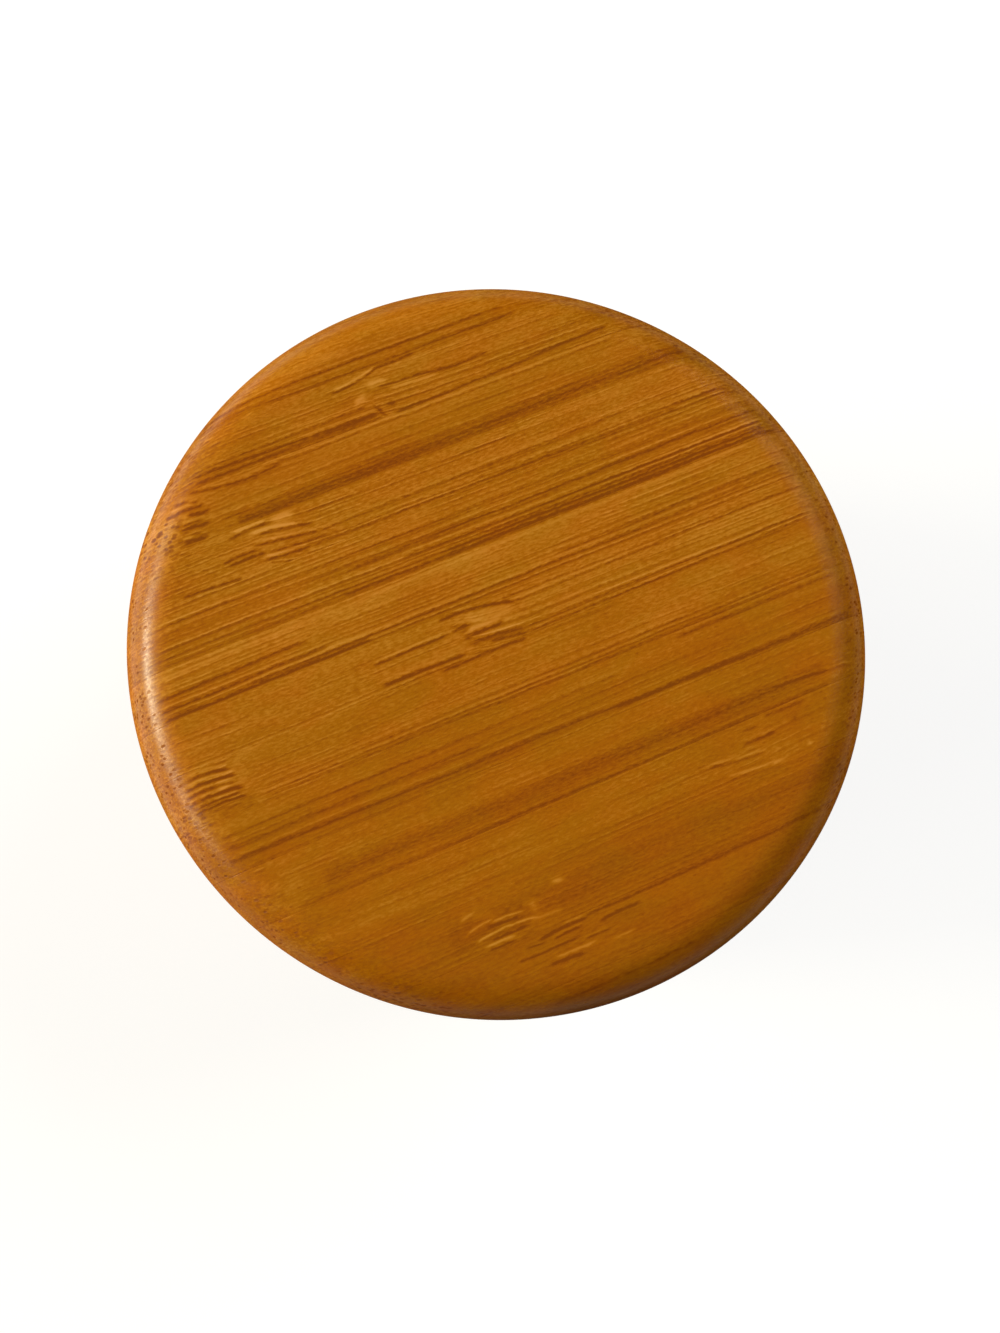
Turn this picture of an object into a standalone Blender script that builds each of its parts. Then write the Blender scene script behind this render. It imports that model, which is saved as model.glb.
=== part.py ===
"""A round bamboo salt box.

A turned cup carries a thick round lid of the same diameter. The lid swivels on a steel dowel that is
pressed into the cup's wall, and a pair of disc magnets, one let into the rim and one into the lid
opposite the dowel, holds it shut. The origin is the middle of the cup's underside and +Z is up.
All sizes are in metres and all angles in degrees.
"""

import math

import bmesh
import bpy

# The box as a whole
BOX_DIAMETER = 0.089
BOX_HEIGHT = 0.070

# The lid, cut from one laminated board
LID_THICKNESS = 0.0127
LID_TOP_ROUND = 0.00635
LID_LOWER_EASE = 0.0008
LID_GAP = 0.0003  # between the lid's underside and the rim

# The cup, bored from a laminated block
WALL_THICKNESS = 0.011
FLOOR_THICKNESS = 0.007
FLOOR_COVE = 0.005  # radius where the inner wall runs into the floor
FOOT_ROUND = 0.005
RIM_EASE = 0.0008
MOUTH_EASE = 0.0012

# The dowel that the lid turns on
PIN_DIAMETER = 0.004
PIN_LENGTH = 0.025
PIN_IN_LID = 0.0085
PIN_CHAMFER = 0.0004
KNURL_LENGTH = 0.012
KNURL_HEIGHT = 0.0002  # from valley to crest, half of it above the plain shank
KNURL_RUN_OUT = 0.0003
KNURL_TEETH = 24
PIN_PRESS_CLEARANCE = 0.00005  # around the crests in the cup
PIN_RUNNING_CLEARANCE = 0.0001  # around the shank in the lid
PIN_END_CLEARANCE = 0.0003
DRILL_POINT_ANGLE = 118
BORE_CHAMFER = 0.0004

# The magnets
MAGNET_DIAMETER = 0.008
MAGNET_THICKNESS = 0.003
MAGNET_CHAMFER = 0.0003
MAGNET_RECESS = 0.00015  # each face lies this far inside the wood
MAGNET_GLUE_LINE = 0.0003  # behind the magnet
MAGNET_FIT = 0.0002  # around the magnet

# How finely curves are cut
TURNED_SEGMENTS = 96
SMALL_SEGMENTS = 48
BORE_SEGMENTS = 32
LARGE_ROUND_STEPS = 9
EASE_STEPS = 3
QUARTER_TURN = 90
SHARP_ANGLE = 30
CUT_OVERRUN = 0.001  # how far a cutter stands out of the face that it enters
WELD_DISTANCE = 0.000001

# Places that follow from the sizes
BOX_RADIUS = BOX_DIAMETER / 2
LID_UNDERSIDE = BOX_HEIGHT - LID_THICKNESS
RIM_HEIGHT = LID_UNDERSIDE - LID_GAP
CAVITY_RADIUS = BOX_RADIUS - WALL_THICKNESS
WALL_MIDDLE = BOX_RADIUS - WALL_THICKNESS / 2
PIVOT_PLACE = (0, WALL_MIDDLE)
MAGNET_PLACE = (0, -WALL_MIDDLE)
PIN_TOP = LID_UNDERSIDE + PIN_IN_LID
PIN_BOTTOM = PIN_TOP - PIN_LENGTH


def bamboo_material():
    """Caramel-brown oiled bamboo, a little glossy."""
    return plain_material("oiled_bamboo", (0.37, 0.125, 0.016), 0.38, 0)


def steel_material():
    """Ground steel of a dowel pin."""
    return plain_material("dowel_steel", (0.56, 0.55, 0.53), 0.28, 1)


def nickel_material():
    """Bright nickel plating on a magnet."""
    return plain_material("nickel_plate", (0.72, 0.69, 0.64), 0.16, 1)


def plain_material(name, colour, roughness, metallic):
    material = bpy.data.materials.new(name)
    material.use_nodes = True
    shader = material.node_tree.nodes["Principled BSDF"]
    shader.inputs["Base Color"].default_value = (*colour, 1)
    shader.inputs["Roughness"].default_value = roughness
    shader.inputs["Metallic"].default_value = metallic
    material.diffuse_color = (*colour, 1)
    return material


def arc(centre, radius, start, end, steps):
    """Points of a turned profile, as (distance from the axis, height), from angle start to angle end."""
    points = []
    for step in range(steps + 1):
        angle = math.radians(start + (end - start) * step / steps)
        across = centre[0] + radius * math.cos(angle)
        height = centre[1] + radius * math.sin(angle)
        points.append((across, height))
    return points


def turned_mesh(name, profile, segments):
    """A mesh made by turning an open profile, which starts and ends on the axis, once about Z."""
    build = bmesh.new()
    points = [build.verts.new((across, 0, height)) for across, height in profile]
    edges = [build.edges.new(pair) for pair in zip(points, points[1:])]
    bmesh.ops.spin(
        build,
        geom=points + edges,
        cent=(0, 0, 0),
        axis=(0, 0, 1),
        angle=2 * math.pi,
        steps=segments,
        use_merge=True,
    )
    bmesh.ops.remove_doubles(build, verts=build.verts, dist=WELD_DISTANCE)
    bmesh.ops.recalc_face_normals(build, faces=build.faces)
    mesh = bpy.data.meshes.new(name)
    build.to_mesh(mesh)
    build.free()
    mesh.shade_smooth()
    mesh.set_sharp_from_angle(angle=math.radians(SHARP_ANGLE))
    return mesh


def add_object(name, mesh, place=(0, 0), material=None):
    """Puts a mesh in the scene, its axis standing at place."""
    piece = bpy.data.objects.new(name, mesh)
    piece.location = (*place, 0)
    if material:
        mesh.materials.append(material)
    bpy.context.scene.collection.objects.link(piece)
    return piece


def cut(piece, name, profile, place):
    """Takes a turned shape out of a piece. The cutter moves with the piece."""
    cutter = add_object(name, turned_mesh(name, profile, BORE_SEGMENTS), place)
    cutter.hide_render = True
    cutter.display_type = "WIRE"
    boolean = piece.modifiers.new(name, "BOOLEAN")
    boolean.operation = "DIFFERENCE"
    boolean.solver = "EXACT"
    boolean.object = cutter
    return cutter


def drilled_profile(radius, mouth, bottom):
    """A drilled blind hole with an eased mouth and the drill's cone at the bottom, in either direction."""
    way = math.copysign(1, bottom - mouth)
    point = radius / math.tan(math.radians(DRILL_POINT_ANGLE / 2))
    return [
        (0, mouth - way * CUT_OVERRUN),
        (radius + BORE_CHAMFER, mouth - way * CUT_OVERRUN),
        (radius + BORE_CHAMFER, mouth),
        (radius, mouth + way * BORE_CHAMFER),
        (radius, bottom),
        (0, bottom + way * point),
    ]


def pocket_profile(mouth, way):
    """The flat-bottomed pocket of a magnet, from its mouth into the wood."""
    radius = MAGNET_DIAMETER / 2 + MAGNET_FIT
    depth = MAGNET_RECESS + MAGNET_THICKNESS + MAGNET_GLUE_LINE
    return [
        (0, mouth - way * CUT_OVERRUN),
        (radius, mouth - way * CUT_OVERRUN),
        (radius, mouth + way * depth),
        (0, mouth + way * depth),
    ]


def cup_profile():
    """The cup's outline from the middle of its underside, round the foot and rim, to the middle of its floor."""
    foot = (BOX_RADIUS - FOOT_ROUND, FOOT_ROUND)
    outer_rim = (BOX_RADIUS - RIM_EASE, RIM_HEIGHT - RIM_EASE)
    inner_rim = (CAVITY_RADIUS + MOUTH_EASE, RIM_HEIGHT - MOUTH_EASE)
    cove = (CAVITY_RADIUS - FLOOR_COVE, FLOOR_THICKNESS + FLOOR_COVE)
    return [
        (0, 0),
        *arc(foot, FOOT_ROUND, -QUARTER_TURN, 0, LARGE_ROUND_STEPS),
        *arc(outer_rim, RIM_EASE, 0, QUARTER_TURN, EASE_STEPS),
        *arc(inner_rim, MOUTH_EASE, QUARTER_TURN, 2 * QUARTER_TURN, EASE_STEPS),
        *arc(cove, FLOOR_COVE, 0, -QUARTER_TURN, LARGE_ROUND_STEPS),
        (0, FLOOR_THICKNESS),
    ]


def lid_profile():
    """The lid's outline from the middle of its underside, up the edge and over the round to its top."""
    lower = (BOX_RADIUS - LID_LOWER_EASE, LID_UNDERSIDE + LID_LOWER_EASE)
    upper = (BOX_RADIUS - LID_TOP_ROUND, BOX_HEIGHT - LID_TOP_ROUND)
    return [
        (0, LID_UNDERSIDE),
        *arc(lower, LID_LOWER_EASE, -QUARTER_TURN, 0, EASE_STEPS),
        *arc(upper, LID_TOP_ROUND, 0, QUARTER_TURN, LARGE_ROUND_STEPS),
        (0, BOX_HEIGHT),
    ]


def magnet_profile(bottom):
    """A disc magnet with both edges chamfered."""
    radius = MAGNET_DIAMETER / 2
    top = bottom + MAGNET_THICKNESS
    return [
        (0, bottom),
        (radius - MAGNET_CHAMFER, bottom),
        (radius, bottom + MAGNET_CHAMFER),
        (radius, top - MAGNET_CHAMFER),
        (radius - MAGNET_CHAMFER, top),
        (0, top),
    ]


def pin_profile():
    """The dowel's plain outline, with the rings that its knurl starts and ends on."""
    radius = PIN_DIAMETER / 2
    knurl_bottom = PIN_BOTTOM + 2 * PIN_CHAMFER
    knurl_top = knurl_bottom + KNURL_LENGTH
    return [
        (0, PIN_BOTTOM),
        (radius - PIN_CHAMFER, PIN_BOTTOM),
        (radius, PIN_BOTTOM + PIN_CHAMFER),
        (radius, knurl_bottom),
        (radius, knurl_bottom + KNURL_RUN_OUT),
        (radius, knurl_top - KNURL_RUN_OUT),
        (radius, knurl_top),
        (radius, PIN_TOP - PIN_CHAMFER),
        (radius - PIN_CHAMFER, PIN_TOP),
        (0, PIN_TOP),
    ]


def cut_knurl(mesh):
    """Raises and lowers every other line of the dowel's lower half, which makes the teeth that grip the wood."""
    middle = PIN_BOTTOM + 2 * PIN_CHAMFER + KNURL_LENGTH / 2
    reach = KNURL_LENGTH / 2 - KNURL_RUN_OUT / 2
    for vertex in mesh.vertices:
        if abs(vertex.co.z - middle) > reach:
            continue
        turn = math.atan2(vertex.co.y, vertex.co.x) / (2 * math.pi)
        line = round(turn * 2 * KNURL_TEETH)
        lift = KNURL_HEIGHT / 2 if line % 2 else -KNURL_HEIGHT / 2
        scale = 1 + lift / (PIN_DIAMETER / 2)
        vertex.co.x *= scale
        vertex.co.y *= scale


def make_cup(material):
    cup = add_object("cup", turned_mesh("cup", cup_profile(), TURNED_SEGMENTS), material=material)
    bore_radius = PIN_DIAMETER / 2 + KNURL_HEIGHT / 2 + PIN_PRESS_CLEARANCE
    bore = drilled_profile(bore_radius, RIM_HEIGHT, PIN_BOTTOM - PIN_END_CLEARANCE)
    cut(cup, "cup_bore_cutter", bore, PIVOT_PLACE)
    cut(cup, "cup_pocket_cutter", pocket_profile(RIM_HEIGHT, -1), MAGNET_PLACE)
    return cup


def make_lid(material, swivel):
    lid = add_object("lid", turned_mesh("lid", lid_profile(), TURNED_SEGMENTS), material=material)
    bore_radius = PIN_DIAMETER / 2 + PIN_RUNNING_CLEARANCE
    bore = drilled_profile(bore_radius, LID_UNDERSIDE, PIN_TOP + PIN_END_CLEARANCE)
    cutters = [
        cut(lid, "lid_bore_cutter", bore, PIVOT_PLACE),
        cut(lid, "lid_pocket_cutter", pocket_profile(LID_UNDERSIDE, 1), MAGNET_PLACE),
    ]
    for piece in (lid, *cutters):
        hang_on(piece, swivel)
    return lid


def make_pin(material):
    mesh = turned_mesh("pivot_pin", pin_profile(), 2 * KNURL_TEETH)
    cut_knurl(mesh)
    return add_object("pivot_pin", mesh, PIVOT_PLACE, material)


def make_magnets(material, swivel):
    rim_face = RIM_HEIGHT - MAGNET_RECESS
    lid_face = LID_UNDERSIDE + MAGNET_RECESS
    cup_mesh = turned_mesh("cup_magnet", magnet_profile(rim_face - MAGNET_THICKNESS), SMALL_SEGMENTS)
    lid_mesh = turned_mesh("lid_magnet", magnet_profile(lid_face), SMALL_SEGMENTS)
    add_object("cup_magnet", cup_mesh, MAGNET_PLACE, material)
    hang_on(add_object("lid_magnet", lid_mesh, MAGNET_PLACE, material), swivel)


def add_swivel():
    """The empty that the lid turns with, standing on the dowel's axis at the lid's underside."""
    swivel = bpy.data.objects.new("lid_swivel", None)
    swivel.location = (*PIVOT_PLACE, LID_UNDERSIDE)
    bpy.context.scene.collection.objects.link(swivel)
    return swivel


def hang_on(piece, swivel):
    """Parents a piece to the swivel and leaves it where it stands."""
    piece.parent = swivel
    piece.location = piece.location - swivel.location


def main():
    for old in list(bpy.data.objects):
        bpy.data.objects.remove(old)
    bamboo = bamboo_material()
    swivel = add_swivel()
    make_cup(bamboo)
    make_lid(bamboo, swivel)
    make_pin(steel_material())
    make_magnets(nickel_material(), swivel)


main()
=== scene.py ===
import math
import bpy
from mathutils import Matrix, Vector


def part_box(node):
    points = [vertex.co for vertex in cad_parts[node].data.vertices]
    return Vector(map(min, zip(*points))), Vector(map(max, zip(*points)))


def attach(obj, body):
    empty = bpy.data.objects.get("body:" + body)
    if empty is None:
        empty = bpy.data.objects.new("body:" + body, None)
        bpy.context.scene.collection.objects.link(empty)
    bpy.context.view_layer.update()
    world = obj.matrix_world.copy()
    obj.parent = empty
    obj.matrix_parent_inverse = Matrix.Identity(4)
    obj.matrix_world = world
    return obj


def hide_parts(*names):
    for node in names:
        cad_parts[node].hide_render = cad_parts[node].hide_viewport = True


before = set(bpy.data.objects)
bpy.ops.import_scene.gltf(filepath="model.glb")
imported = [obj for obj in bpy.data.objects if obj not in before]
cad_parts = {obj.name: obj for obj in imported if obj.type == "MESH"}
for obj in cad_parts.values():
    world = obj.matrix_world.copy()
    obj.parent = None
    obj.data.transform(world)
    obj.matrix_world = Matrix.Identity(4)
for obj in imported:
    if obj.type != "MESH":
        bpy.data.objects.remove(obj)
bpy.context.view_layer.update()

from types import SimpleNamespace

import bmesh
import bpy
from mathutils import Matrix, Vector

# Sizes in metres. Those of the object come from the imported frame.
MM = 0.001
LID_LOW, LID_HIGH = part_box("lid")
CUP_LOW, CUP_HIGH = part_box("cup")
PIN_LOW, PIN_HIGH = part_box("pivot_pin")
MAGNET_LOW, MAGNET_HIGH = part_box("cup_magnet")
RADIUS = (LID_HIGH.x - LID_LOW.x) / 2
PIVOT = (PIN_LOW + PIN_HIGH) / 2
MAGNET = (MAGNET_LOW + MAGNET_HIGH) / 2
WALL = 2 * (RADIUS - PIVOT.y)
CAVITY_RADIUS = RADIUS - WALL
FLOOR_TOP = 7 * MM
LID_ROUND = 6.35 * MM
FOOT_ROUND = 5 * MM
FLOOR_COVE = 5 * MM
EASE = 0.8 * MM
MOUTH_EASE = 1.2 * MM
BORE_RADIUS = {"lid": 2.1 * MM, "cup": 2.15 * MM}
POCKET_RADIUS = 4.2 * MM
POCKET_DEPTH = 3.45 * MM
PIN_END_GAP = 0.3 * MM
HOLE_CHAMFER = 0.3 * MM
CUTTER_OVERRUN = 1.0 * MM
MERGE_DISTANCE = 0.001 * MM

# How finely the turned pieces are made
TURN_STEPS = 288
HOLE_STEPS = 64
SHARP_ANGLE = math.radians(32)

# The photograph's camera
FRAME_SIZE = (1000, 1333)
CAMERA_PLACE = Vector((-12.1, -25.8, 205.0)) * MM
CAMERA_TARGET = Vector((-1.0, -4.3, 70.0)) * MM
FOCAL_PIXELS = 1190.3
SENSOR = 36.0
NEAREST_SEEN = 5 * MM

# Lamps and floor
LAMP_DISTANCE = 1.7
FLOOR_RADIUS = 3.0
FLOOR_DROP = 0.05 * MM
FLOOR_GREY = (0.26, 0.26, 0.26, 1)
NEAR_FLOOR, FAR_FLOOR = 0.1, 0.7
# Way towards the window, where the floor glows as a painted pool of light seen only in reflections.
PAINTED_POOL_WAY = (-0.97, 0.24, 0)
WARM_DIM = (1.0, 0.72, 0.45)
WHITE = (1.0, 1.0, 1.0)


class Graph:
    """Makes the nodes of one tree. Every method takes sockets or plain values and returns a socket."""

    def __init__(self, tree):
        self.tree = tree

    def node(self, kind, **settings):
        made = self.tree.nodes.new(kind)
        for name, value in settings.items():
            setattr(made, name, value)
        return made

    def feed(self, socket, value):
        if isinstance(value, bpy.types.NodeSocket):
            self.tree.links.new(value, socket)
        else:
            socket.default_value = value

    def math(self, operation, *values, clamp=False):
        made = self.node("ShaderNodeMath", operation=operation, use_clamp=clamp)
        for socket, value in zip(made.inputs, values):
            self.feed(socket, value)
        return made.outputs[0]

    def add(self, *values):
        total = values[0]
        for value in values[1:]:
            total = self.math("ADD", total, value)
        return total

    def less(self, a, b):
        return self.math("SUBTRACT", a, b)

    def times(self, *values):
        total = values[0]
        for value in values[1:]:
            total = self.math("MULTIPLY", total, value)
        return total

    def bell(self, value, width=None):
        """1 where value is 0, falling smoothly to almost nothing at twice the width."""
        share = value if width is None else self.math("DIVIDE", value, width)
        return self.math("EXPONENT", self.times(share, share, -1.0))

    def scaled(self, value, factor, offset):
        return self.math("MULTIPLY_ADD", value, factor, offset)

    def ramped(self, value, start, end, low=0.0, high=1.0):
        """Goes smoothly from low to high as value goes from start to end."""
        made = self.node("ShaderNodeMapRange", interpolation_type="SMOOTHSTEP")
        for socket, number in zip(made.inputs, (value, start, end, low, high)):
            self.feed(socket, number)
        return made.outputs[0]

    def vector(self, x, y, z):
        made = self.node("ShaderNodeCombineXYZ")
        for socket, value in zip(made.inputs, (x, y, z)):
            self.feed(socket, value)
        return made.outputs[0]

    def dot(self, vector, direction):
        made = self.node("ShaderNodeVectorMath", operation="DOT_PRODUCT")
        self.feed(made.inputs[0], vector)
        self.feed(made.inputs[1], direction)
        return made.outputs["Value"]

    def noise(self, vector, detail, roughness=0.5):
        made = self.node("ShaderNodeTexNoise")
        self.feed(made.inputs["Vector"], vector)
        made.inputs["Scale"].default_value = 1
        made.inputs["Detail"].default_value = detail
        made.inputs["Roughness"].default_value = roughness
        return made.outputs[0]

    def cells(self, vector):
        """(distance to the nearest cell's middle, a random number of that cell)."""
        made = self.node("ShaderNodeTexVoronoi")
        self.feed(made.inputs["Vector"], vector)
        made.inputs["Scale"].default_value = 1
        return made.outputs["Distance"], self.parts(made.outputs["Color"])[0]

    def chance(self, x, y):
        """Three random numbers that are the same wherever x and y are."""
        made = self.node("ShaderNodeTexWhiteNoise", noise_dimensions="2D")
        self.feed(made.inputs["Vector"], self.vector(x, y, 0.0))
        return self.parts(made.outputs["Color"])

    def parts(self, colour):
        made = self.node("ShaderNodeSeparateColor")
        self.feed(made.inputs[0], colour)
        return made.outputs[:3]

    def steps(self, value, stops, interpolation="CONSTANT"):
        """(colour, fourth value) from a table whose stops are (place from 0 to 1, four numbers)."""
        made = self.node("ShaderNodeValToRGB")
        ramp = made.color_ramp
        ramp.interpolation = interpolation
        ramp.elements.remove(ramp.elements[1])
        ramp.elements[0].position = stops[0][0]
        ramp.elements[0].color = stops[0][1]
        for place, numbers in stops[1:]:
            ramp.elements.new(place).color = numbers
        self.feed(made.inputs[0], value)
        return made.outputs["Color"], made.outputs["Alpha"]

    def grouped(self, name, values, build, results):
        """Feeds the values to nodes that build makes in a group of their own, and returns its results."""
        tree = bpy.data.node_groups.new(name, "ShaderNodeTree")
        for number in range(len(values)):
            tree.interface.new_socket(f"in_{number}", in_out="INPUT", socket_type="NodeSocketFloat")
        for number in range(results):
            tree.interface.new_socket(f"out_{number}", in_out="OUTPUT", socket_type="NodeSocketFloat")
        inner = Graph(tree)
        source = inner.node("NodeGroupInput")
        made = build(inner, *source.outputs[:len(values)])
        drain = inner.node("NodeGroupOutput")
        for socket, result in zip(drain.inputs, made):
            inner.feed(socket, result)
        group = self.node("ShaderNodeGroup")
        group.node_tree = tree
        for socket, value in zip(group.inputs, values):
            self.feed(socket, value)
        return group.outputs[:results]

    def bump(self, shader, height, strength, distance):
        made = self.node("ShaderNodeBump")
        made.inputs["Strength"].default_value = strength
        made.inputs["Distance"].default_value = distance
        self.feed(made.inputs["Height"], height)
        self.feed(shader.inputs["Normal"], made.outputs["Normal"])

    def blend(self, factor, a, b, mode="MIX"):
        made = self.node("ShaderNodeMix", data_type="RGBA", blend_type=mode)
        self.feed(made.inputs["Factor"], factor)
        self.feed(made.inputs["A"], a if isinstance(a, bpy.types.NodeSocket) else (*a, 1))
        self.feed(made.inputs["B"], b if isinstance(b, bpy.types.NodeSocket) else (*b, 1))
        return made.outputs["Result"]


def new_material(name):
    """A material with its nodes' graph and its shader."""
    material = bpy.data.materials.new(name)
    material.use_nodes = True
    return material, Graph(material.node_tree), material.node_tree.nodes["Principled BSDF"]


# The lid's board. Places on it are in millimetres from its middle: along runs with the grain, to the right
# and up in the photograph, and across runs towards its lower right. It is glued from strips. Each has its
# dense dark fibres along its lower edge, and some have a knuckle, where the fibres break off and bend.
GRAIN_ANGLE = math.radians(23)
SEAMS = [-35.4, -29.0, -22.75, -16.9, -10.4, -4.5, 1.35, 7.6, 13.9, 20.3, 26.7, 32.9, 39.2]
FIRST_STRIP, LAST_STRIP = -42.0, 45.5
TABLE_CELLS = 16
# For each strip: tone, share of dense fibres, how strong its lines are, place of the knuckle along it and its
# strength, how far the fibres step aside there, how far its dashes reach to the left and to the right.
STRIPS = [
    (0.39, 0.6, 0.50, -90, 0.0, 0.0, 0.0, 0.0),
    (0.43, 0.6, 0.67, -4.0, 0.3, 0.4, 0.3, 1.6),
    (0.44, 0.7, 0.50, -26.7, 0.5, 0.1, 1.8, 0.3),
    (0.43, 0.5, 0.80, -22.4, 0.5, 1.1, 0.6, 3.0),
    (0.46, 0.9, 0.68, -90, 0.0, 0.0, 0.0, 0.0),
    (0.41, 0.7, 0.61, -90, 0.0, 0.0, 0.0, 0.0),
    (0.41, 0.5, 0.63, -5.5, 0.5, 1.0, 0.3, 2.0),
    (0.46, 0.5, 0.50, -33.6, 0.7, 0.2, 5.0, 0.6),
    (0.52, 0.7, 0.34, 90, 0.0, 0.0, 0.0, 0.0),
    (0.52, 0.6, 0.33, -34.5, 0.5, 0.0, 2.2, 0.3),
    (0.52, 0.4, 0.34, 22.4, 0.4, -0.4, 1.6, 2.2),
    (0.60, 0.5, 0.30, -10.6, 0.3, 0.3, 2.0, 1.5),
    (0.64, 0.5, 0.27, -5.4, 0.4, 0.2, 2.6, 1.6),
    (0.62, 0.5, 0.36, 90, 0.0, 0.0, 0.0, 0.0),
]
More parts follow.
